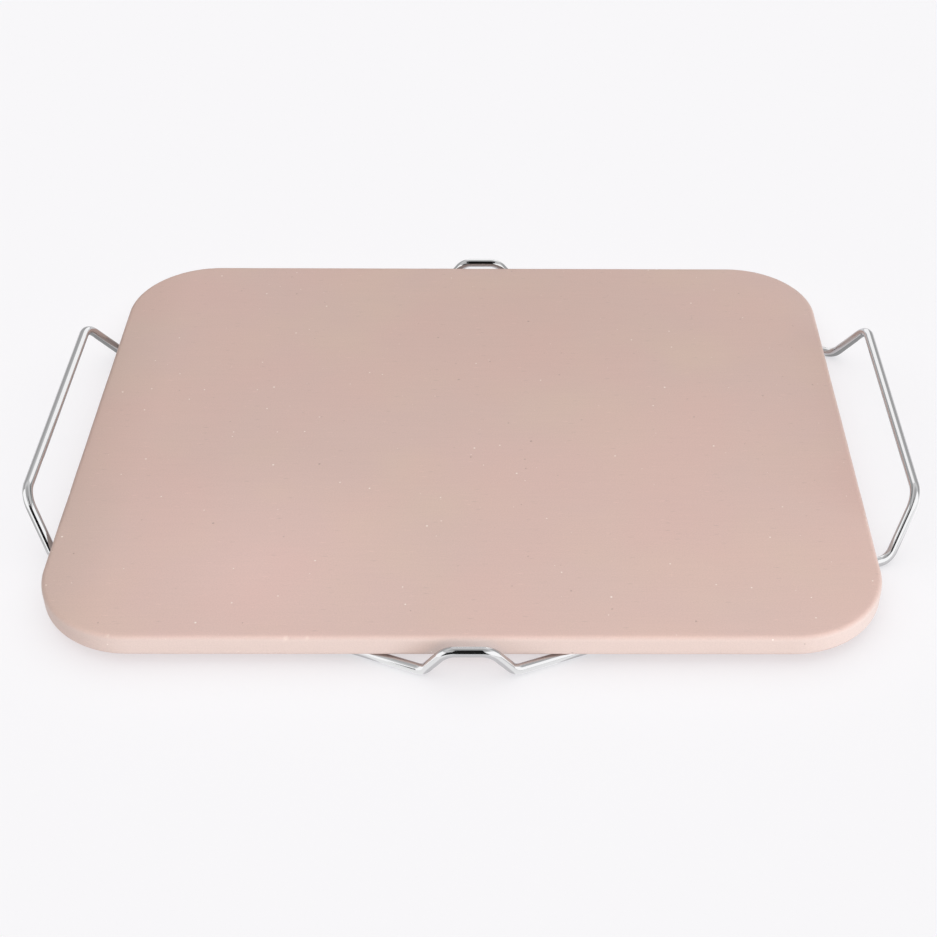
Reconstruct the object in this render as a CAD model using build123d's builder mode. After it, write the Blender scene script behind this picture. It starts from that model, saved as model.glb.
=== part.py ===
# Pizza stone in a wire serving rack.
#
# A slab of fired clay lies loose in a rack bent from one length of chromed wire. Seen from
# above the wire is one long loop: four slanting rails lie on the table and carry the slab,
# beyond each end of the slab the wire rises to a grip, and at the middle of each long side
# it rises to a low stop that keeps the slab from sliding off. The wire's two ends meet in a
# butt weld, ground flush, in the rail at the rear left.
#
# Millimetres. The origin is on the table under the middle of the rack. +X runs along the
# slab to the right-hand grip, +Y runs away from the front, and +Z is up.
import os

from build123d import *

# The baking slab
stone_length = 380.0
stone_width = 300.0
stone_thickness = 11.0
stone_corner_radius = 45.0
stone_edge_radius = 2.2
# The loose slab lies this far along X from the middle of the rack, near the left-hand bends
stone_shift = -3.6
seat_clearance = 0.3

# The rack's wire and the weld that joins its ends
wire_diameter = 4.8
weld_length = 1.2

# Radii of the wire's middle line in its bends
stop_top_bend_radius = 9.0
stop_foot_bend_radius = 6.0
foot_bend_radius = 8.0
grip_bend_radius = 12.0

# The stops. Lengths and heights are those of the corners that the bends round off, and the
# lean is how far a stop's top stands out past its feet.
stop_clearance = 3.3
stop_top_length = 19.6
stop_foot_spread = 40.0
stop_lean = 1.1
stop_top_drop = 1.4

# The grips, with the feet from which they rise
grip_length = 138.0
grip_foot_spread = 167.6
foot_clearance = 1.7
grip_lean = 12.2
grip_height = 12.8

# Heights above the table
wire_radius = wire_diameter / 2
rail_height = wire_radius
stone_bottom = wire_diameter + seat_clearance
stone_top = stone_bottom + stone_thickness
stop_top_height = stone_top - stop_top_drop
grip_top_height = stone_top + grip_height

# Distances of the wire's middle line from the middle of the rack. A foot stands clear of the
# flat of the slab's underside, which ends where its rounded edge begins.
stop_distance = stone_width / 2 + stop_clearance + wire_radius
flat_end = stone_length / 2 + abs(stone_shift) - stone_edge_radius
foot_distance = flat_end + foot_clearance + wire_radius
grip_distance = foot_distance + grip_lean

# The wire's corners in the right-hand rear quarter of the rack, from stop to grip
quarter_corners = [
    Vector(stop_top_length / 2, stop_distance + stop_lean, stop_top_height),
    Vector(stop_foot_spread / 2, stop_distance, rail_height),
    Vector(foot_distance, grip_foot_spread / 2, rail_height),
    Vector(grip_distance, grip_length / 2, grip_top_height),
]
quarter_bends = [
    stop_top_bend_radius,
    stop_foot_bend_radius,
    foot_bend_radius,
    grip_bend_radius,
]

# The other quarters are mirror images. Going round, every second one runs from grip to stop.
loop_corners = []
loop_bends = []
for side_x, side_y, order in ((-1, 1, 1), (-1, -1, -1), (1, -1, 1), (1, 1, -1)):
    for corner in quarter_corners[::order]:
        loop_corners.append(Vector(side_x * corner.X, side_y * corner.Y, corner.Z))
    loop_bends += quarter_bends[::order]

# The weld is halfway along the rail at the rear left, between the loop's second and third
# corners, and the wire starts and ends at its two faces.
rail_start = loop_corners[1]
rail_end = loop_corners[2]
rail_direction = (rail_end - rail_start).normalized()
rail_middle = (rail_start + rail_end) / 2
half_weld = rail_direction * weld_length / 2
wire_corners = loop_corners[2:] + loop_corners[:2]
wire_bends = loop_bends[2:] + loop_bends[:2]

with BuildPart() as baking_stone:
    with BuildSketch(Plane.XY.offset(stone_bottom)):
        with Locations((stone_shift, 0)):
            RectangleRounded(stone_length, stone_width, stone_corner_radius)
    extrude(amount=stone_thickness)
    top_face = baking_stone.faces().sort_by(Axis.Z)[-1]
    bottom_face = baking_stone.faces().sort_by(Axis.Z)[0]
    fillet(top_face.edges() + bottom_face.edges(), radius=stone_edge_radius)
baking_stone.part.label = "baking_stone"

with BuildPart() as rack_wire:
    with BuildLine() as wire_route:
        FilletPolyline(
            rail_middle + half_weld,
            *wire_corners,
            rail_middle - half_weld,
            radius=wire_bends,
        )
    with BuildSketch(Plane(origin=rail_middle + half_weld, z_dir=rail_direction)):
        Circle(wire_radius)
    sweep()
rack_wire.part.label = "rack_wire"

with BuildPart() as butt_weld:
    with BuildSketch(Plane(origin=rail_middle - half_weld, z_dir=rail_direction)):
        Circle(wire_radius)
    extrude(amount=weld_length)
butt_weld.part.label = "butt_weld"

os.makedirs("parts", exist_ok=True)
export_step(baking_stone.part, "parts/baking_stone.step")
export_step(rack_wire.part, "parts/rack_wire.step")
export_step(butt_weld.part, "parts/butt_weld.step")
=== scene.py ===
"""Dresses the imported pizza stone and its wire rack, and sets the studio round them."""

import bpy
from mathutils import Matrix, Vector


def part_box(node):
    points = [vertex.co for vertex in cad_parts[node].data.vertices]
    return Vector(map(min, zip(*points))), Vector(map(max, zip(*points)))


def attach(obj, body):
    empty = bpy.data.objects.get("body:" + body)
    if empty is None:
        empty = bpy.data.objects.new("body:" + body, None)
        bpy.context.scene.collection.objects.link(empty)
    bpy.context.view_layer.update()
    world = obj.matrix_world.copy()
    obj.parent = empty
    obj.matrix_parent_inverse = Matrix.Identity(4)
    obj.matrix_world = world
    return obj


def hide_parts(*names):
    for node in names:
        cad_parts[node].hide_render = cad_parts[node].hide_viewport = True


bl_info = {
    "name": "Pizza Stone and Rack",
    "version": (1, 0, 0),
    "blender": (4, 5, 0),
    "location": "3D View > Sidebar > Pizza Stone",
    "description": "Builds the fired clay slab, its bent wire rack and the studio they stand in",
    "category": "Object",
}

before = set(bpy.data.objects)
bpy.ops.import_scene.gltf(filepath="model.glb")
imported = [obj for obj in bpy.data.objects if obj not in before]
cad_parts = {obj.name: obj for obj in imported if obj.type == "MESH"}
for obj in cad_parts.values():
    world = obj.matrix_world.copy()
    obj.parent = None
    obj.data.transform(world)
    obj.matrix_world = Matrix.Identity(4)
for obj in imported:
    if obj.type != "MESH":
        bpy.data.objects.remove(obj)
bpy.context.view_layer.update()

import math
import random
from collections import namedtuple

import bmesh
import bpy
from bpy.props import (
    FloatProperty,
    FloatVectorProperty,
    IntProperty,
    PointerProperty,
)
from mathutils import Matrix, Vector, noise

MM = 0.001
STONE_LOW, STONE_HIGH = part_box("baking_stone")
WIRE_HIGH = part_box("rack_wire")[1]


# ---- small helpers


def linear(colour):
    """The linear RGB of an sRGB hex colour."""
    channels = [int(colour[i : i + 2], 16) / 255 for i in (1, 3, 5)]
    return [c / 12.92 if c <= 0.04045 else ((c + 0.055) / 1.055) ** 2.4 for c in channels]


def rgba(colour):
    """Linear RGB with full alpha, as a colour socket takes it."""
    return (*colour, 1.0)


def grey(level):
    """A linear grey, as a colour socket takes it."""
    return rgba((level, level, level))


def add_node(tree, kind, inputs=None, **settings):
    """Adds a node, applies its settings, and sets or links its inputs.

    Where inputs are numbered, 1 to 4 of a Map Range are its From Min, From Max, To Min and
    To Max, and 0, 6 and 7 of a colour Mix are its factor and its two colours.
    """
    node = tree.nodes.new(kind)
    for name, value in settings.items():
        setattr(node, name, value)
    for socket, value in (inputs or {}).items():
        if isinstance(value, bpy.types.NodeSocket):
            tree.links.new(value, node.inputs[socket])
        else:
            node.inputs[socket].default_value = value
    return node


def new_material(name):
    """An empty node material, with its tree cleared."""
    material = bpy.data.materials.new(name)
    material.use_nodes = True
    material.node_tree.nodes.clear()
    return material


def facing_matrix(centre, facing):
    """A frame at centre whose Z axis points the way that facing does."""
    return Matrix.Translation(centre) @ facing.to_track_quat("Z", "Y").to_matrix().to_4x4()


def lit_group(name):
    """A collection of what some lamps light and others don't."""
    return bpy.data.collections.get(name) or bpy.data.collections.new(name)


def finish_piece(bm, name, material, body, slot, *nodes):
    """Turns a bmesh into a smooth piece that rides on a body in place of CAD nodes."""
    mesh = bpy.data.meshes.new(name)
    for face in bm.faces:
        face.smooth = True
    bm.to_mesh(mesh)
    bm.free()
    mesh.materials.append(material)
    piece = bpy.data.objects.new(name, mesh)
    bpy.context.scene.collection.objects.link(piece)
    lit_group("pieces").objects.link(piece)
    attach(piece, body)
    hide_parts(*nodes)
    return piece


# ---- sizes and colours that a user may change


class StoneSettings(bpy.types.PropertyGroup):
    """The fired clay slab."""

    corner_radius: FloatProperty(
        name="Corner radius",
        description="Radius of the slab's corners seen from above",
        default=45.0 * MM,
        min=5.0 * MM,
        max=100.0 * MM,
        unit="LENGTH",
    )
    edge_radius: FloatProperty(
        name="Edge radius",
        description="Radius of the rounding along the slab's top and bottom edges",
        default=2.2 * MM,
        min=0.5 * MM,
        max=5.0 * MM,
        unit="LENGTH",
    )
    rim_step: FloatProperty(
        name="Rim step",
        description="Spacing of the mesh along the slab's rim",
        default=1.0 * MM,
        min=0.5 * MM,
        unit="LENGTH",
    )
    rim_unevenness: FloatProperty(
        name="Rim unevenness",
        description="How deep the pressed rim dips between its high places",
        default=0.2 * MM,
        min=0.0,
        unit="LENGTH",
    )
    chip_count: IntProperty(
        name="Chips",
        description="How many small chips are knocked off the slab's top edge",
        default=11,
        min=0,
    )
    chip_seed: IntProperty(
        name="Chip seed",
        description="Number that decides where the chips are",
        default=5,
    )
    clay_colour: FloatVectorProperty(
        name="Clay",
        description="Colour of the fired clay",
        subtype="COLOR",
        default=linear("#CEB2A9"),
        min=0.0,
        max=1.0,
    )
    rim_colour: FloatVectorProperty(
        name="Rim",
        description="Colour of the slab's upright rim, where the clay is paler",
        subtype="COLOR",
        default=linear("#D4C1BA"),
        min=0.0,
        max=1.0,
    )


class RackSettings(bpy.types.PropertyGroup):
    """The chromed wire rack."""

    wire_diameter: FloatProperty(
        name="Wire diameter",
        description="Thickness of the wire with its chrome plate",
        default=4.8 * MM,
        unit="LENGTH",
    )
    weld_length: FloatProperty(
        name="Weld length",
        description="Length of the butt weld along the wire",
        default=1.2 * MM,
        unit="LENGTH",
    )
    stop_top_bend: FloatProperty(
        name="Stop top bend radius",
        description="Radius of the wire's middle line in the bends at a stop's top",
        default=9.0 * MM,
        unit="LENGTH",
    )
    stop_foot_bend: FloatProperty(
        name="Stop foot bend radius",
        description="Radius of the wire's middle line in the bends at a stop's feet",
        default=6.0 * MM,
        unit="LENGTH",
    )
    foot_bend: FloatProperty(
        name="Foot bend radius",
        description="Radius of the wire's middle line where a rail turns up to a grip",
        default=8.0 * MM,
        unit="LENGTH",
    )
    grip_bend: FloatProperty(
        name="Grip bend radius",
        description="Radius of the wire's middle line at the ends of a grip",
        default=12.0 * MM,
        unit="LENGTH",
    )
    stop_top_length: FloatProperty(
        name="Stop length",
        description="Length of a stop's top, between the corners that its bends round off",
        default=19.6 * MM,
        unit="LENGTH",
    )
    stop_foot_spread: FloatProperty(
        name="Stop foot spread",
        description="Distance between the corners at the feet of a stop",
        default=40.0 * MM,
        unit="LENGTH",
    )
    stop_lean: FloatProperty(
        name="Stop lean",
        description="How far a stop's top stands out past its feet",
        default=1.1 * MM,
        unit="LENGTH",
    )
    stop_drop: FloatProperty(
        name="Stop drop",
        description="How far the middle of a stop's top lies below the slab's top",
        default=1.4 * MM,
        unit="LENGTH",
    )
    grip_length: FloatProperty(
        name="Grip length",
        description="Length of a grip, between the corners that its bends round off",
        default=138.0 * MM,
        unit="LENGTH",
    )
    grip_foot_spread: FloatProperty(
        name="Grip foot spread",
        description="Distance between the two feet from which a grip rises",
        default=167.6 * MM,
        unit="LENGTH",
    )
    grip_lean: FloatProperty(
        name="Grip lean",
        description="How far a grip stands out past its feet",
        default=12.2 * MM,
        unit="LENGTH",
    )
    chrome_colour: FloatVectorProperty(
        name="Chrome",
        description="Colour that the chrome plate gives its reflections",
        subtype="COLOR",
        default=linear("#C8C8C9"),
        min=0.0,
        max=1.0,
    )


class StudioSettings(bpy.types.PropertyGroup):
    """The floor, the lamps and the world."""

    backdrop_colour: FloatVectorProperty(
        name="Backdrop",
        description="Colour of the floor and of the world behind it",
        subtype="COLOR",
        default=linear("#F8F7F9"),
        min=0.0,
        max=1.0,
    )
    world_level: FloatProperty(
        name="World level",
        description="Strength of the even light from all round",
        default=0.12,
        min=0.0,
    )
    table_glow: FloatProperty(
        name="Table glow",
        description="Share of the floor's brightness that comes through it from below",
        default=0.55,
        min=0.0,
        max=0.9,
    )
    floor_size: FloatProperty(
        name="Floor size",
        description="Length of the square floor's sides",
        default=16.0,
        unit="LENGTH",
    )


# ---- finishes

# Painted light and shade on the clay's top: a paler place at the front left and a darker one at
# the back. The middle of each, how far it reaches, and what its colour is multiplied by there
PAINTED_LIGHT_AND_SHADE_PLACES = (
    ((-100 * MM, -105 * MM, 16 * MM), 85 * MM, (1.10, 1.075, 1.09)),
    ((30 * MM, 120 * MM, 16 * MM), 150 * MM, (0.97, 0.963, 0.945)),
)
# Painted shade at the left-hand end: how far it reaches in, and what the colour is multiplied by
# at the edge
LEFT_END_SHADE_REACH = 32 * MM
LEFT_END_PAINTED_SHADE = (0.92, 0.935, 0.915)


def fired_clay(stone):
    """Unglazed fired clay: dull all over, grainy, with pale grog, pinholes darkened with painted
    shade, and painted light and shade across the top.
    """
    material = new_material("fired_clay_unglazed")
    tree = material.node_tree
    place = add_node(tree, "ShaderNodeTexCoord").outputs["Object"]

    # The kiln leaves clouds of a warmer and a yellower tone, some centimetres wide
    warm = add_node(
        tree,
        "ShaderNodeTexNoise",
        {"Vector": place, "Scale": 1 / (70 * MM), "Detail": 2.0, "Roughness": 0.5},
    )
    moved = add_node(tree, "ShaderNodeMapping", {"Vector": place, "Location": (0.31, 0.17, 0)})
    yellow = add_node(
        tree,
        "ShaderNodeTexNoise",
        {"Vector": moved.outputs[0], "Scale": 1 / (45 * MM), "Detail": 1.0},
    )
    clouds_and_painted_light = add_node(
        tree,
        "ShaderNodeMix",
        {
            0: add_node(
                tree,
                "ShaderNodeMapRange",
                {"Value": yellow.outputs[0], 1: 0.42, 2: 0.7, 3: 0.0, 4: 0.5},
            ).outputs[0],
            6: rgba(stone.clay_colour),
            7: rgba(linear("#D1B7A8")),
        },
        data_type="RGBA",
    )
    clouds_and_painted_light = add_node(
        tree,
        "ShaderNodeMix",
        {
            0: add_node(
                tree,
                "ShaderNodeMapRange",
                {"Value": warm.outputs[0], 1: 0.4, 2: 0.7, 3: 0.0, 4: 0.8},
            ).outputs[0],
            6: clouds_and_painted_light.outputs[2],
            7: rgba(linear("#D1B1A8")),
        },
        data_type="RGBA",
    )

    # Two broad places of painted light and shade: a paler one at the front left, a darker one at
    # the back
    for centre, reach, shade in PAINTED_LIGHT_AND_SHADE_PLACES:
        away = add_node(
            tree, "ShaderNodeVectorMath", {0: place, 1: centre}, operation="DISTANCE"
        )
        near = add_node(
            tree,
            "ShaderNodeMapRange",
            {"Value": away.outputs["Value"], 1: reach, 2: 0.0, 3: 0.0, 4: 1.0},
        )
        clouds_and_painted_light = add_node(
            tree,
            "ShaderNodeMix",
            {0: near.outputs[0], 6: clouds_and_painted_light.outputs[2], 7: rgba(shade)},
            data_type="RGBA",
            blend_type="MULTIPLY",
        )

    # Painted shade: the left-hand end is darker, more so towards the edge
    across = add_node(tree, "ShaderNodeSeparateXYZ", {0: place})
    left_end_painted_shade = add_node(
        tree,
        "ShaderNodeMapRange",
        {"Value": across.outputs["X"], 1: STONE_LOW.x + LEFT_END_SHADE_REACH, 2: STONE_LOW.x},
    )
    clouds_and_painted_light = add_node(
        tree,
        "ShaderNodeMix",
        {0: left_end_painted_shade.outputs[0], 6: clouds_and_painted_light.outputs[2], 7: rgba(LEFT_END_PAINTED_SHADE)},
        data_type="RGBA",
        blend_type="MULTIPLY",
    )

    # The rim is paler than the two flat faces
    rim = add_node(tree, "ShaderNodeAttribute", attribute_name="rim")
    tone = add_node(
        tree,
        "ShaderNodeMix",
        {0: rim.outputs["Fac"], 6: clouds_and_painted_light.outputs[2], 7: rgba(stone.rim_colour)},
        data_type="RGBA",
    )

    # A chip shows the paler clay inside
    chipped = add_node(tree, "ShaderNodeAttribute", attribute_name="chipped")
    fresh = add_node(
        tree,
        "ShaderNodeMapRange",
        {"Value": chipped.outputs["Fac"], 1: 0.1, 2: 0.6, 3: 0.0, 4: 0.5},
    )
    tone = add_node(
        tree,
        "ShaderNodeMix",
        {0: fresh.outputs[0], 6: tone.outputs[2], 7: rgba(linear("#E0CDC3"))},
        data_type="RGBA",
    )

    # Grain of the pressed clay. The real grit is about 0.2 mm; it is drawn at 0.7 mm to show.
    grain = add_node(
        tree,
        "ShaderNodeTexNoise",
        {"Vector": place, "Scale": 1 / (0.7 * MM), "Detail": 3.0, "Roughness": 0.6},
    )
    grain_shade = add_node(
        tree, "ShaderNodeMapRange", {"Value": grain.outputs[0], 1: 0.3, 2: 0.7, 3: 0.955, 4: 1.045}
    )
    tone = add_node(
        tree,
        "ShaderNodeMix",
        {0: 1.0, 6: tone.outputs[2], 7: grain_shade.outputs[0]},
        data_type="RGBA",
        blend_type="MULTIPLY",
    )

    # Faint lines along the slab, where the press plate was wiped
    drawn_out = add_node(tree, "ShaderNodeMapping", {"Vector": place, "Scale": (0.05, 1.0, 1.0)})
    wiped = add_node(
        tree,
        "ShaderNodeTexNoise",
        {"Vector": drawn_out.outputs[0], "Scale": 1 / (1.2 * MM), "Detail": 2.0},
    )
    wiped_shade = add_node(
        tree, "ShaderNodeMapRange", {"Value": wiped.outputs[0], 1: 0.3, 2: 0.7, 3: 0.992, 4: 1.008}
    )
    tone = add_node(
        tree,
        "ShaderNodeMix",
        {0: 1.0, 6: tone.outputs[2], 7: wiped_shade.outputs[0]},
        data_type="RGBA",
        blend_type="MULTIPLY",
    )

    # Short rub marks on the flat faces, paler or darker, up to 3.6 mm long and 0.8 mm wide
    flattened = add_node(tree, "ShaderNodeMapping", {"Vector": place, "Scale": (0.22, 1.0, 1.0)})
    marks = add_node(
        tree,
        "ShaderNodeTexVoronoi",
        {"Vector": flattened.outputs[0], "Scale": 1 / (5 * MM), "Randomness": 1.0},
        voronoi_dimensions="2D",
    )
    flat_top = add_node(
        tree, "ShaderNodeMath", {0: 1.0, 1: rim.outputs["Fac"]}, operation="SUBTRACT"
    )
    mark_cover = add_node(
        tree,
        "ShaderNodeMapRange",
        {"Value": marks.outputs["Distance"], 1: 0.08, 2: 0.0, 3: 0.0, 4: flat_top.outputs[0]},
    )
    mark_kind = add_node(tree, "ShaderNodeSeparateXYZ", {0: marks.outputs["Color"]})
    mark_shade = add_node(
        tree, "ShaderNodeMapRange", {"Value": mark_kind.outputs["X"], 3: 0.84, 4: 1.12}
    )
    tone = add_node(
        tree,
        "ShaderNodeMix",
        {0: mark_cover.outputs[0], 6: tone.outputs[2], 7: mark_shade.outputs[0]},
        data_type="RGBA",
        blend_type="MULTIPLY",
    )

    # Grains of pale grog, up to 1.2 mm across, cut by the surface
    grog = add_node(
        tree, "ShaderNodeTexVoronoi", {"Vector": place, "Scale": 1 / (7 * MM), "Randomness": 1.0}
    )
    grog_size = add_node(tree, "ShaderNodeSeparateXYZ", {0: grog.outputs["Color"]})
    grog_edge = add_node(
        tree,
        "ShaderNodeMapRange",
        {"Value": grog_size.outputs["X"], 1: 0.0, 2: 1.0, 3: 0.0, 4: 0.09},
    )
    grog_depth = add_node(
        tree,
        "ShaderNodeMapRange",
        {"Value": grog.outputs["Distance"], 1: grog_edge.outputs[0], 2: 0.0, 3: 0.0, 4: 2.0},
    )
    grog_cover = add_node(
        tree, "ShaderNodeMath", {0: grog_depth.outputs[0], 1: 1.0}, operation="MINIMUM"
    )
    tone = add_node(
        tree,
        "ShaderNodeMix",
        {0: grog_cover.outputs[0], 6: tone.outputs[2], 7: rgba(linear("#EBDFD8"))},
        data_type="RGBA",
    )

    # Pinholes, where grit or a bubble has come out of the face; their darkening is painted shade
    # in the hollows
    pits = add_node(
        tree, "ShaderNodeTexVoronoi", {"Vector": place, "Scale": 1 / (9.3 * MM), "Randomness": 1.0}
    )
    pit_size = add_node(tree, "ShaderNodeSeparateXYZ", {0: pits.outputs["Color"]})
    pit_edge = add_node(
        tree, "ShaderNodeMapRange", {"Value": pit_size.outputs["X"], 3: 0.02, 4: 0.085}
    )
    pit_depth = add_node(
        tree,
        "ShaderNodeMapRange",
        {"Value": pits.outputs["Distance"], 1: pit_edge.outputs[0], 2: 0.01, 3: 0.0, 4: 1.0},
    )
    pit_painted_shade = add_node(
        tree, "ShaderNodeMapRange", {"Value": pit_depth.outputs[0], 3: 1.0, 4: 0.72}
    )
    tone = add_node(
        tree,
        "ShaderNodeMix",
        {0: 1.0, 6: tone.outputs[2], 7: pit_painted_shade.outputs[0]},
        data_type="RGBA",
        blend_type="MULTIPLY",
    )

    grain_bump = add_node(
        tree,
        "ShaderNodeBump",
        {"Height": grain.outputs[0], "Strength": 0.5, "Distance": 0.05 * MM},
    )
    pit_bump = add_node(
        tree,
        "ShaderNodeBump",
        {
            "Height": pit_depth.outputs[0],
            "Strength": 1.0,
            "Distance": 0.25 * MM,
            "Normal": grain_bump.outputs[0],
        },
        invert=True,
    )
    dull = add_node(
        tree, "ShaderNodeMapRange", {"Value": grain.outputs[0], 1: 0.3, 2: 0.7, 3: 0.82, 4: 0.95}
    )
    shader = add_node(
        tree,
        "ShaderNodeBsdfPrincipled",
        {
            "Base Color": tone.outputs[2],
            "Roughness": dull.outputs[0],
            "Normal": pit_bump.outputs[0],
        },
    )
    add_node(tree, "ShaderNodeOutputMaterial", {"Surface": shader.outputs[0]})
    return material


def chromed_wire(name, rack, dullest, drawn_depth):
    """Bright chrome plate on drawn steel wire: mirror bands with faint lines along the wire."""
    material = new_material(name)
    tree = material.node_tree
    # Places on the wire as if it were still straight, so that the drawing lines follow it
    straight = add_node(tree, "ShaderNodeAttribute", attribute_name="straight").outputs["Vector"]
    # The lines are about 0.05 mm apart; they are drawn at 0.3 mm to show
    squeezed = add_node(
        tree, "ShaderNodeMapping", {"Vector": straight, "Scale": (1.0, 1.0, 0.01)}
    )
    lines = add_node(
        tree,
        "ShaderNodeTexNoise",
        {"Vector": squeezed.outputs[0], "Scale": 1 / (0.3 * MM), "Detail": 2.0},
    )
    smudges = add_node(
        tree,
        "ShaderNodeTexNoise",
        {"Vector": straight, "Scale": 1 / (9 * MM), "Detail": 3.0},
    )
    roughness = add_node(
        tree,
        "ShaderNodeMapRange",
        {"Value": smudges.outputs[0], 1: 0.35, 2: 0.7, 3: 0.03, 4: dullest},
    )
    bump = add_node(
        tree,
        "ShaderNodeBump",
        {"Height": lines.outputs[0], "Strength": 0.2, "Distance": drawn_depth},
    )
    shader = add_node(
        tree,
        "ShaderNodeBsdfPrincipled",
        {
            "Base Color": rgba(rack.chrome_colour),
            "Metallic": 1.0,
            "Roughness": roughness.outputs[0],
            "Normal": bump.outputs[0],
        },
    )
    add_node(tree, "ShaderNodeOutputMaterial", {"Surface": shader.outputs[0]})
    return material


# ---- the slab

# Edges that turn more sharply than this are the block's own, and are rounded
SHARP_TURN = math.radians(80)
EDGE_SEGMENTS = 6
RIM_CUTS = 3
# The rim's own tone is full below this share of the edge radius
RIM_FADE = 0.7
# The rim's dips: how far apart, how much each counts, and their mean and swing as shares of the
# deepest dip
DIPS = ((17 * MM, 1.0), (5 * MM, 0.5))
DIP_MEAN = 0.5
DIP_SWING = 0.33
# A vertex is on the rounded top edge where its normal rises between these, and on a flat face,
# which isn't worn, where its normal leans out less than FLAT_LEAN
EDGE_LOW, EDGE_HIGH = 0.3, 0.9
FLAT_LEAN = 0.05
# The chips: least and most reach, and depth as a share of the reach
CHIP_REACH = (0.6 * MM, 1.5 * MM)
CHIP_DEPTH = 0.3


def stone_block(stone):
    """A closed block with rounded corners and edges, finely divided along its rim."""
    bm = bmesh.new()
    size = STONE_HIGH - STONE_LOW
    middle = (STONE_LOW + STONE_HIGH) / 2
    # The outline is a circle whose quarters are drawn apart into the four corners
    corner_steps = round(math.pi / 2 * stone.corner_radius / stone.rim_step)
    half_step = Matrix.Rotation(math.pi / (4 * corner_steps), 4, "Z")
    bmesh.ops.create_circle(
        bm, segments=4 * corner_steps, radius=stone.corner_radius, matrix=half_step
    )
    straight_x = size.x - 2 * stone.corner_radius
    straight_y = size.y - 2 * stone.corner_radius
    for vert in bm.verts:
        vert.co.x += math.copysign(straight_x / 2, vert.co.x)
        vert.co.y += math.copysign(straight_y / 2, vert.co.y)
    for axis, straight in enumerate((straight_x, straight_y)):
        bmesh.ops.subdivide_edges(
            bm,
            edges=[
                edge
                for edge in bm.edges
                if abs(edge.verts[0].co[axis] - edge.verts[1].co[axis]) > straight / 2
            ],
            cuts=round(straight / stone.rim_step) - 1,
        )
    bmesh.ops.translate(bm, vec=(middle.x, middle.y, STONE_LOW.z), verts=bm.verts)
    bottom = bmesh.ops.contextual_create(bm, geom=bm.edges[:])["faces"]
    made = bmesh.ops.extrude_face_region(bm, geom=bottom, use_keep_orig=True)["geom"]
    top = [item for item in made if isinstance(item, bmesh.types.BMVert)]
    bmesh.ops.translate(bm, vec=(0, 0, size.z), verts=top)
    bmesh.ops.recalc_face_normals(bm, faces=bm.faces)
    bmesh.ops.bevel(
        bm,
        geom=[edge for edge in bm.edges if edge.calc_face_angle(0.0) > SHARP_TURN],
        offset=stone.edge_radius,
        segments=EDGE_SEGMENTS,
        profile=0.5,
        affect="EDGES",
        material=-1,
    )
    # A narrow flat border keeps the rounding out of the shading of the two large faces
    large = [face for face in bm.faces if len(face.verts) > 4]
    bmesh.ops.inset_region(bm, faces=large, thickness=stone.edge_radius / 2, use_even_offset=True)
    upright = [
        edge
        for edge in bm.edges
        if abs(edge.verts[0].co.z - edge.verts[1].co.z) > stone.edge_radius
    ]
    bmesh.ops.subdivide_edges(bm, edges=upright, cuts=RIM_CUTS)
    bmesh.ops.recalc_face_normals(bm, faces=bm.faces)
    return bm


def wear_rim(bm, stone):
    """Presses the rim in here and there, and knocks a few small chips off its top edge."""
    chipped = bm.verts.layers.float.new("chipped")
    bm.normal_update()
    edge_verts = [vert for vert in bm.verts if EDGE_LOW < vert.normal.z < EDGE_HIGH]
    edge_verts.sort(key=lambda vert: tuple(round(c, 6) for c in vert.co))
    picker = random.Random(stone.chip_seed)
    chips = [
        (picker.choice(edge_verts).co.copy(), picker.uniform(*CHIP_REACH))
        for _ in range(stone.chip_count)
    ]
    moves = []
    for vert in bm.verts:
        side = math.hypot(vert.normal.x, vert.normal.y)
        if side < FLAT_LEAN:
            continue
        swell = sum(part * noise.noise(vert.co / apart) for apart, part in DIPS)
        dent = stone.rim_unevenness * side * (DIP_MEAN + DIP_SWING * swell)
        for centre, reach in chips:
            near = 1 - ((vert.co - centre).length / reach) ** 2
            if near > 0:
                dent += CHIP_DEPTH * reach * near
                vert[chipped] = max(vert[chipped], near)
        moves.append((vert, vert.normal * dent))
    for vert, move in moves:
        vert.co -= move


# ---- the wire's route

# How many sides the round wire is drawn with, and how many steps a whole turn of a bend has
WIRE_SIDES = 32
STEPS_PER_TURN = 96
FEWEST_STEPS = 3
# The weld's thickness along its length, as shares of its length and of the wire's thickness.
# Grinding leaves it a touch thin beside the wire's two ends.
WELD_WAISTS = ((0.12, 0.985), (0.3, 1.0), (0.7, 1.0), (0.88, 0.985), (1.0, 1.0))


def rack_route(rack):
    """The wire's corners and bend radii, from the weld's middle once round to it again."""
    wire_radius = rack.wire_diameter / 2
    stop_y = WIRE_HIGH.y - wire_radius
    foot_y = stop_y - rack.stop_lean
    grip_x = WIRE_HIGH.x - wire_radius
    quarter = [
        (rack.stop_top_length / 2, stop_y, STONE_HIGH.z - rack.stop_drop, rack.stop_top_bend),
        (rack.stop_foot_spread / 2, foot_y, wire_radius, rack.stop_foot_bend),
        (grip_x - rack.grip_lean, rack.grip_foot_spread / 2, wire_radius, rack.foot_bend),
        (grip_x, rack.grip_length / 2, WIRE_HIGH.z - wire_radius, rack.grip_bend),
    ]
    loop = []
    for side_x, side_y, order in ((-1, 1, 1), (-1, -1, -1), (1, -1, 1), (1, 1, -1)):
        for x, y, z, bend in quarter[::order]:
            loop.append((Vector((side_x * x, side_y * y, z)), bend))
    middle = (loop[1][0] + loop[2][0]) / 2
    return middle, loop[2:] + loop[:2]


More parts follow.
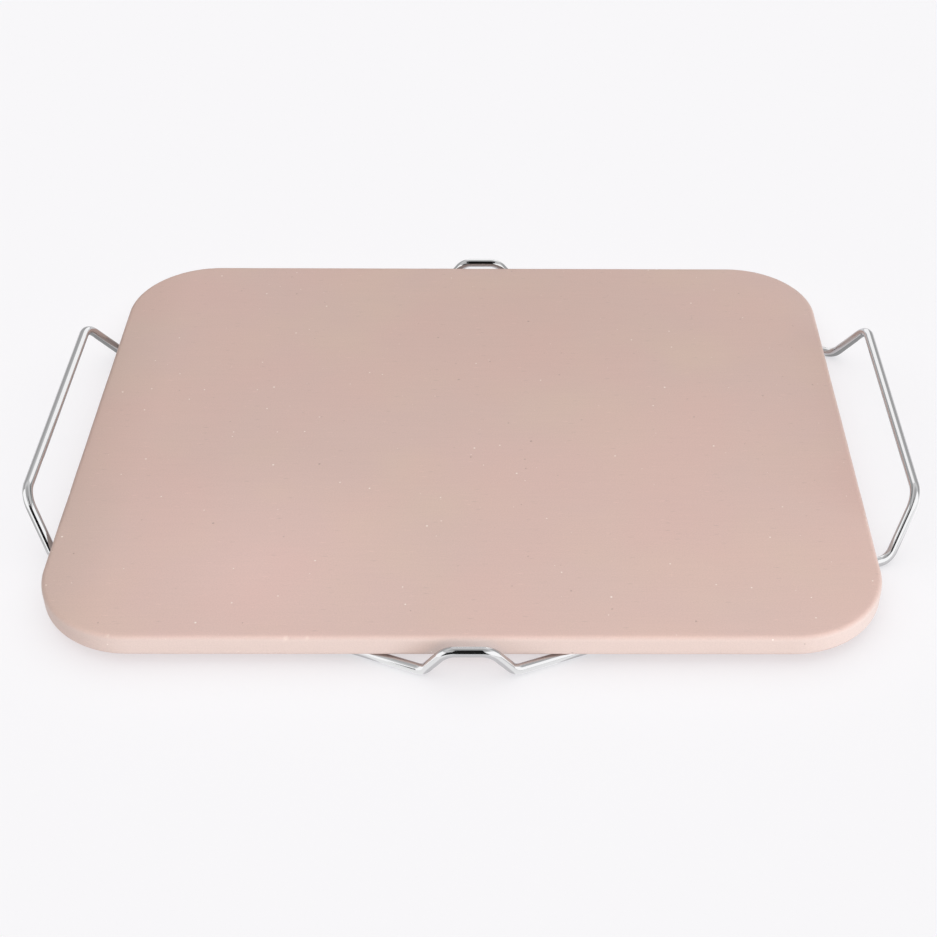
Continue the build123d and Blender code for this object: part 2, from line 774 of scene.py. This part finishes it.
class WireDraw:
    """Draws a ring of the wire along its route, and notes each place on the straight wire."""

    def __init__(self, centre, direction, radius):
        self.bm = bmesh.new()
        self.straight = self.bm.verts.layers.float_vector.new("straight")
        self.centre = centre.copy()
        self.length = 0.0
        made = bmesh.ops.create_circle(
            self.bm, segments=WIRE_SIDES, radius=radius, matrix=facing_matrix(centre, direction)
        )
        for i, vert in enumerate(made["verts"]):
            turn = 2 * math.pi * i / WIRE_SIDES
            vert[self.straight] = (radius * math.cos(turn), radius * math.sin(turn), 0.0)
        self.ring = list({edge for vert in made["verts"] for edge in vert.link_edges})
        self.first = list(self.ring)

    def advance(self, made, by):
        """Takes the new ring from a step's result, and moves its places along the wire."""
        self.ring = [item for item in made if isinstance(item, bmesh.types.BMEdge)]
        self.length += by
        for vert in {vert for edge in self.ring for vert in edge.verts}:
            x, y, _ = vert[self.straight]
            vert[self.straight] = (x, y, self.length)

    def run(self, to):
        """Draws the wire straight to a point."""
        step = to - self.centre
        made = bmesh.ops.extrude_edge_only(self.bm, edges=self.ring)["geom"]
        verts = [item for item in made if isinstance(item, bmesh.types.BMVert)]
        bmesh.ops.translate(self.bm, verts=verts, vec=step)
        self.advance(made, step.length)
        self.centre = to.copy()

    def bend(self, pivot, axis, angle, steps):
        """Turns the wire round a pivot, in steps that are near enough to a round arc."""
        radius = (self.centre - pivot).length
        turn = Matrix.Rotation(angle / steps, 3, axis)
        for _ in range(steps):
            verts = list({vert for edge in self.ring for vert in edge.verts})
            made = bmesh.ops.spin(
                self.bm,
                geom=verts + self.ring,
                cent=pivot,
                axis=axis,
                angle=angle / steps,
                steps=1,
            )["geom_last"]
            self.advance(made, radius * angle / steps)
            self.centre = pivot + turn @ (self.centre - pivot)

    def close(self):
        """Closes both ends with flat faces, and points all faces outwards."""
        for ring in (self.first, self.ring):
            bmesh.ops.contextual_create(self.bm, geom=ring)
        bmesh.ops.recalc_face_normals(self.bm, faces=self.bm.faces)
        return self.bm


def bend_round(draw, corner, to, radius):
    """Runs to where a corner's bend starts, and bends round it towards the next corner."""
    into = (corner - draw.centre).normalized()
    out = (to - corner).normalized()
    turn = into.angle(out)
    reach = radius * math.tan(turn / 2)
    draw.run(corner - into * reach)
    axis = into.cross(out).normalized()
    pivot = draw.centre + axis.cross(into) * radius
    steps = max(FEWEST_STEPS, math.ceil(STEPS_PER_TURN * turn / (2 * math.pi)))
    draw.bend(pivot, axis, turn, steps)


# ---- operators


class PIZZASTONE_OT_slab(bpy.types.Operator):
    """Build the fired clay slab, with its rounded corners and softened edges"""

    bl_idname = "pizza_stone.slab"
    bl_label = "Clay Slab"

    def execute(self, context):
        stone = context.scene.pizza_stone
        bm = stone_block(stone)
        rim = bm.verts.layers.float.new("rim")
        for vert in bm.verts:
            depth = min(STONE_HIGH.z - vert.co.z, vert.co.z - STONE_LOW.z)
            vert[rim] = min(1.0, max(0.0, depth / (RIM_FADE * stone.edge_radius)))
        wear_rim(bm, stone)
        finish_piece(
            bm, "clay_slab", fired_clay(stone), "slab", "fired_clay", "baking_stone"
        )
        return {"FINISHED"}


class PIZZASTONE_OT_rack(bpy.types.Operator):
    """Bend the chromed wire of the rack, from one side of its weld round to the other"""

    bl_idname = "pizza_stone.rack"
    bl_label = "Wire Rack"

    def execute(self, context):
        rack = context.scene.pizza_rack
        middle, corners = rack_route(rack)
        direction = (corners[0][0] - corners[-1][0]).normalized()
        half_weld = direction * rack.weld_length / 2
        end = middle - half_weld
        draw = WireDraw(middle + half_weld, direction, rack.wire_diameter / 2)
        targets = [corner for corner, _ in corners[1:]] + [end]
        for (corner, radius), to in zip(corners, targets):
            bend_round(draw, corner, to, radius)
        draw.run(end)
        finish_piece(
            draw.close(),
            "chromed_wire_loop",
            chromed_wire(
                "chrome_plate_on_drawn_wire", rack, dullest=0.12, drawn_depth=0.004 * MM
            ),
            "rack",
            "chromed_wire",
            "rack_wire",
        )
        return {"FINISHED"}


class PIZZASTONE_OT_weld(bpy.types.Operator):
    """Build the butt weld that joins the wire's two ends, ground flush and plated over"""

    bl_idname = "pizza_stone.weld"
    bl_label = "Butt Weld"

    def execute(self, context):
        rack = context.scene.pizza_rack
        middle, corners = rack_route(rack)
        direction = (corners[0][0] - corners[-1][0]).normalized()
        start = middle - direction * rack.weld_length / 2
        draw = WireDraw(start, direction, rack.wire_diameter / 2)
        for share, waist in WELD_WAISTS:
            draw.run(start + direction * share * rack.weld_length)
            verts = list({vert for edge in draw.ring for vert in edge.verts})
            target = waist * rack.wire_diameter / 2
            for vert in verts:
                arm = vert.co - draw.centre
                vert.co = draw.centre + arm.normalized() * target
        finish_piece(
            draw.close(),
            "butt_weld_ground",
            chromed_wire(
                "chrome_plate_over_ground_weld", rack, dullest=0.3, drawn_depth=0.02 * MM
            ),
            "rack",
            "chromed_wire",
            "butt_weld",
        )
        return {"FINISHED"}


def place_lamp(lamp, place, facing, lights):
    """Stands a lamp at a place, turned to what it faces, unseen by the eye and the metal."""
    holder = bpy.data.objects.new(lamp.name, lamp)
    holder.location = place
    holder.rotation_mode = "QUATERNION"
    holder.rotation_quaternion = facing.to_track_quat("-Z", "Y")
    holder.visible_camera = False
    holder.visible_glossy = False
    bpy.context.scene.collection.objects.link(holder)
    if lights != "all":
        holder.light_linking.receiver_collection = lit_group(lights)


class PIZZASTONE_OT_studio(bpy.types.Operator):
    """Set the floor, the lamps, the world and the camera"""

    bl_idname = "pizza_stone.studio"
    bl_label = "Studio"

    def execute(self, context):
        studio = context.scene.pizza_studio
        self.floor(studio)
        self.world(context.scene, studio)
        self.lamps()
        self.panels()
        self.camera(context.scene)
        context.scene.view_settings.view_transform = "Standard"
        return {"FINISHED"}

    @staticmethod
    def floor(studio):
        """A pale light table: matt, softly lit from below, it keeps the object's shadow."""
        bm = bmesh.new()
        bmesh.ops.create_grid(bm, x_segments=1, y_segments=1, size=studio.floor_size / 2)
        mesh = bpy.data.meshes.new("studio_floor")
        bm.to_mesh(mesh)
        bm.free()
        material = new_material("matt_light_table")
        tree = material.node_tree
        # The board takes up what the glow leaves of the backdrop's colour, in the lamps' light
        glow_colour = linear(GLOW_TINT)
        light = studio.world_level + sum(far.level for far in LAMPS if far.lights != "pieces")
        board_colour = [
            (whole - studio.table_glow * part) / light
            for whole, part in zip(studio.backdrop_colour, glow_colour)
        ]
        board = add_node(tree, "ShaderNodeBsdfDiffuse", {"Color": rgba(board_colour)})
        glow = add_node(
            tree,
            "ShaderNodeEmission",
            {"Color": rgba(glow_colour), "Strength": studio.table_glow},
        )
        both = add_node(tree, "ShaderNodeAddShader", {0: board.outputs[0], 1: glow.outputs[0]})
        add_node(tree, "ShaderNodeOutputMaterial", {"Surface": both.outputs[0]})
        mesh.materials.append(material)
        floor = bpy.data.objects.new("studio_floor", mesh)
        bpy.context.scene.collection.objects.link(floor)
        lit_group("table").objects.link(floor)

    @staticmethod
    def world(scene, studio):
        """The pale backdrop for the eye, and an even light for everything else."""
        world = bpy.data.worlds.new("studio_world")
        scene.world = world
        world.use_nodes = True
        tree = world.node_tree
        tree.nodes.clear()
        path = add_node(tree, "ShaderNodeLightPath")
        seen = add_node(
            tree,
            "ShaderNodeMath",
            {0: path.outputs["Is Camera Ray"], 1: path.outputs["Is Transmission Ray"]},
            operation="MAXIMUM",
        )
        even = add_node(
            tree, "ShaderNodeBackground", {"Color": grey(1.0), "Strength": studio.world_level}
        )
        shown = add_node(
            tree, "ShaderNodeBackground", {"Color": rgba(studio.backdrop_colour), "Strength": 1.0}
        )
        # What the metal sees past the panels: a pale room, darker low down and overhead
        look = add_node(tree, "ShaderNodeTexCoord").outputs["Generated"]
        height = add_node(tree, "ShaderNodeSeparateXYZ", {0: look}).outputs["Z"]
        rise = add_node(
            tree,
            "ShaderNodeMapRange",
            {"Value": height, 1: ROOM_RISE[0], 2: ROOM_RISE[1]},
            interpolation_type="SMOOTHSTEP",
        )
        room = add_node(
            tree,
            "ShaderNodeMix",
            {0: rise.outputs[0], 6: grey(ROOM_LOW), 7: grey(ROOM_HIGH)},
            data_type="RGBA",
        ).outputs[2]
        towards_dark = add_node(
            tree,
            "ShaderNodeVectorMath",
            {0: look, 1: (0.0, -math.cos(DARK_HEIGHT), math.sin(DARK_HEIGHT))},
            operation="DOT_PRODUCT",
        ).outputs["Value"]
        overhead_dark = add_node(
            tree,
            "ShaderNodeMapRange",
            {
                "Value": towards_dark,
                1: math.cos(DARK_REACH),
                2: math.cos(DARK_CORE),
            },
            interpolation_type="SMOOTHSTEP",
        )
        room = add_node(
            tree,
            "ShaderNodeMix",
            {0: overhead_dark.outputs[0], 6: room, 7: grey(ROOM_OVERHEAD)},
            data_type="RGBA",
        ).outputs[2]
        reflected = add_node(tree, "ShaderNodeBackground", {"Color": room, "Strength": 1.0})
        lit = add_node(
            tree,
            "ShaderNodeMixShader",
            {0: path.outputs["Is Glossy Ray"], 1: even.outputs[0], 2: reflected.outputs[0]},
        )
        both = add_node(
            tree,
            "ShaderNodeMixShader",
            {0: seen.outputs[0], 1: lit.outputs[0], 2: shown.outputs[0]},
        )
        add_node(tree, "ShaderNodeOutputWorld", {"Surface": both.outputs[0]})

    @staticmethod
    def lamps():
        """Wide soft lamps far off, and one near the front from which the light falls away."""
        for far in LAMPS:
            lamp = bpy.data.lights.new(far.name, "SUN")
            lamp.color = linear(far.colour)
            lamp.angle = math.radians(far.spread)
            lamp.energy = math.pi * far.level / math.sin(math.radians(far.elevation))
            away, up = math.radians(far.azimuth), math.radians(far.elevation)
            back = Vector(
                (math.sin(away) * math.cos(up), math.cos(away) * math.cos(up), math.sin(up))
            )
            place_lamp(lamp, back * LAMP_DISTANCE, -back, far.lights)
        name, centre, towards, width, height, power = NEAR_LAMP
        lamp = bpy.data.lights.new(name, "AREA")
        lamp.shape = "RECTANGLE"
        lamp.size, lamp.size_y = width, height
        lamp.energy = power
        place_lamp(lamp, Vector(centre), Vector(towards) - Vector(centre), "pieces")

    @staticmethod
    def panels():
        """Pale panels and black flags that only the metal's reflections see, and cards on the
        table, also seen only in reflections, that paint the table's light and shade into them.
        """
        for name, centre, towards, width, height, level in PANELS:
            place = facing_matrix(centre, Vector(towards) - Vector(centre))
            bm = bmesh.new()
            bmesh.ops.create_grid(bm, x_segments=1, y_segments=1, size=0.5)
            bmesh.ops.scale(bm, vec=(width, height, 1.0), verts=bm.verts)
            bmesh.ops.transform(bm, matrix=place, verts=bm.verts)
            mesh = bpy.data.meshes.new(name)
            bm.to_mesh(mesh)
            bm.free()
            material = new_material(name)
            tree = material.node_tree
            glow = add_node(
                tree, "ShaderNodeEmission", {"Color": grey(1.0), "Strength": level}
            )
            add_node(tree, "ShaderNodeOutputMaterial", {"Surface": glow.outputs[0]})
            mesh.materials.append(material)
            panel = bpy.data.objects.new(name, mesh)
            panel.visible_camera = False
            panel.visible_diffuse = False
            panel.visible_shadow = False
            panel.visible_transmission = False
            bpy.context.scene.collection.objects.link(panel)

    @staticmethod
    def camera(scene):
        """The camera at the photograph's place, with its lens and framing."""
        camera = bpy.data.cameras.new("photo_camera")
        camera.sensor_width = 36.0
        camera.lens = LENS
        camera.shift_x, camera.shift_y = SHIFT
        camera.clip_start, camera.clip_end = 0.01, 100.0
        holder = bpy.data.objects.new("photo_camera", camera)
        yaw, pitch, roll = CAMERA_TURN
        forward = Vector(
            (-math.sin(yaw) * math.cos(pitch), math.cos(yaw) * math.cos(pitch), -math.sin(pitch))
        )
        right = Vector((math.cos(yaw), math.sin(yaw), 0.0))
        up = right.cross(forward)
        across = math.cos(roll) * right + math.sin(roll) * up
        upright = -math.sin(roll) * right + math.cos(roll) * up
        turn = Matrix((across, upright, -forward)).transposed()
        holder.matrix_world = Matrix.Translation(CAMERA_PLACE) @ turn.to_4x4()
        scene.collection.objects.link(holder)
        scene.camera = holder


# The far lamps: azimuth and elevation of where each stands, how wide it looks, how much light it
# gives a level face, its colour, and what it lights: all, the pieces or the table. Azimuth 0 is
# straight back, 90 is to the right. Two low lamps, warm in front and cool at the right, show the
# rim, and one more softens the shadow on the table.
FarLamp = namedtuple("FarLamp", "name azimuth elevation spread level colour lights")
LAMPS = (
    FarLamp("lamp_front", 165, 19, 38, 0.0706, "#FFD9BF", "pieces"),
    FarLamp("lamp_right", 118, 19, 38, 0.206, "#E4F6FF", "pieces"),
    FarLamp("lamp_left", -115, 30, 60, 0.045, "#FFFFFF", "pieces"),
    FarLamp("lamp_top", 20, 88, 120, 0.475, "#FFFFFF", "all"),
    FarLamp("lamp_table", 0, 88, 120, 0.30, "#FFFFFF", "table"),
)
# The near lamp: centre, the point it faces, width, height and power
NEAR_LAMP = ("lamp_near", (0.15, -0.45, 0.45), (0.05, -0.15, 0.016), 0.30, 0.20, 0.80)
GLOW_TINT = "#FBFBFF"
# Where the far lamps are drawn. They shine as from infinitely far.
LAMP_DISTANCE = 3
# The room that the metal sees: its levels low down, high up and overhead, between which heights
# it turns paler, as sines of the elevation, and where its dark place is, up from the front
# horizon, and how far from there it is full and ends
ROOM_LOW = 0.56
ROOM_HIGH = 1.05
ROOM_OVERHEAD = 0.6
ROOM_RISE = (0.45, 0.9)
DARK_HEIGHT = math.radians(84)
DARK_CORE = math.radians(10)
DARK_REACH = math.radians(45)
# The panels: centre, the point each faces, width, height and level. The cards lying on the table
#  are painted light and shade of the table for the metal's reflections: the bright ones painted
#  light, the dim ones painted shadow
PANELS = (
    ("panel_right", (0.31, -0.31, 0.21), (0.04, -0.15, 0.12), 0.63, 0.38, 1.60),
    ("panel_left", (-0.43, -0.30, 0.19), (0.0, -0.23, 0.19), 0.62, 0.38, 1.60),
    ("panel_back", (0.07, 0.58, 0.34), (0.0, 0.0, 0.2), 0.48, 0.60, 1.50),
    # Painted light: bright cards on the table that only the metal's reflections see
    ("light_card_front_left", (-0.105, -0.305, 0.0006), (-0.105, -0.305, 1.0), 0.17, 0.31, 1.30),
    ("light_card_front_right", (0.125, -0.305, 0.0006), (0.125, -0.305, 1.0), 0.21, 0.31, 1.30),
    ("light_card_table_right", (0.34, -0.16, 0.0008), (0.34, -0.16, 1.0), 0.24, 0.30, 1.40),
    # Painted shade: dim cards on the table at the left and beside the slab's ends, that only the
    # metal's reflections see
    ("shade_card_table_left", (-0.34, -0.16, 0.0008), (-0.34, -0.16, 1.0), 0.24, 0.30, 0.75),
    ("shade_card_left_end", (-0.204, 0.05, 0.001), (-0.204, 0.05, 1.0), 0.022, 0.12, 0.42),
    ("shade_card_right_end", (0.202, 0.05, 0.001), (0.202, 0.05, 1.0), 0.022, 0.12, 0.45),
    ("flag_camera", (-0.2175, -0.55, 0.21), (-0.2175, 0.0, 0.21), 0.365, 0.38, 0.02),
    ("flag_camera_low", (0.0425, -0.55, 0.06), (0.0425, 0.0, 0.06), 0.155, 0.12, 0.02),
    ("flag_camera_high", (-0.01, -0.55, 1.00), (-0.01, 0.0, 1.00), 0.22, 1.76, 0.02),
    ("flag_overhead", (0.0, 0.075, 0.12), (0.0, 0.075, 0.0), 0.10, 0.12, 0.01),
)
LENS = 61.58
SHIFT = (-0.0624, 0.0005)
CAMERA_PLACE = (18.65 * MM, -640.36 * MM, 509.71 * MM)
CAMERA_TURN = (-0.011732, 0.683372, 0.009092)


class PIZZASTONE_PT_panel(bpy.types.Panel):
    """Lists the pieces, the studio and their settings"""

    bl_idname = "PIZZASTONE_PT_panel"
    bl_label = "Pizza Stone"
    bl_space_type = "VIEW_3D"
    bl_region_type = "UI"
    bl_category = "Pizza Stone"

    def draw(self, context):
        scene = context.scene
        for operators, settings in (
            ((PIZZASTONE_OT_slab,), scene.pizza_stone),
            ((PIZZASTONE_OT_rack, PIZZASTONE_OT_weld), scene.pizza_rack),
            ((PIZZASTONE_OT_studio,), scene.pizza_studio),
        ):
            box = self.layout.box()
            for name in settings.__annotations__:
                box.prop(settings, name)
            for operator in operators:
                box.operator(operator.bl_idname)


CLASSES = (
    StoneSettings,
    RackSettings,
    StudioSettings,
    PIZZASTONE_OT_slab,
    PIZZASTONE_OT_rack,
    PIZZASTONE_OT_weld,
    PIZZASTONE_OT_studio,
    PIZZASTONE_PT_panel,
)


def register():
    """Registers the classes, and gives the scene its settings."""
    for cls in CLASSES:
        bpy.utils.register_class(cls)
    bpy.types.Scene.pizza_stone = PointerProperty(type=StoneSettings)
    bpy.types.Scene.pizza_rack = PointerProperty(type=RackSettings)
    bpy.types.Scene.pizza_studio = PointerProperty(type=StudioSettings)


def unregister():
    """Takes the settings and the classes away again."""
    del bpy.types.Scene.pizza_studio
    del bpy.types.Scene.pizza_rack
    del bpy.types.Scene.pizza_stone
    for cls in reversed(CLASSES):
        bpy.utils.unregister_class(cls)


def main():
    """Registers the add-on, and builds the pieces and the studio."""
    register()
    bpy.ops.pizza_stone.slab()
    bpy.ops.pizza_stone.rack()
    bpy.ops.pizza_stone.weld()
    bpy.ops.pizza_stone.studio()


if __name__ == "__main__":
    main()
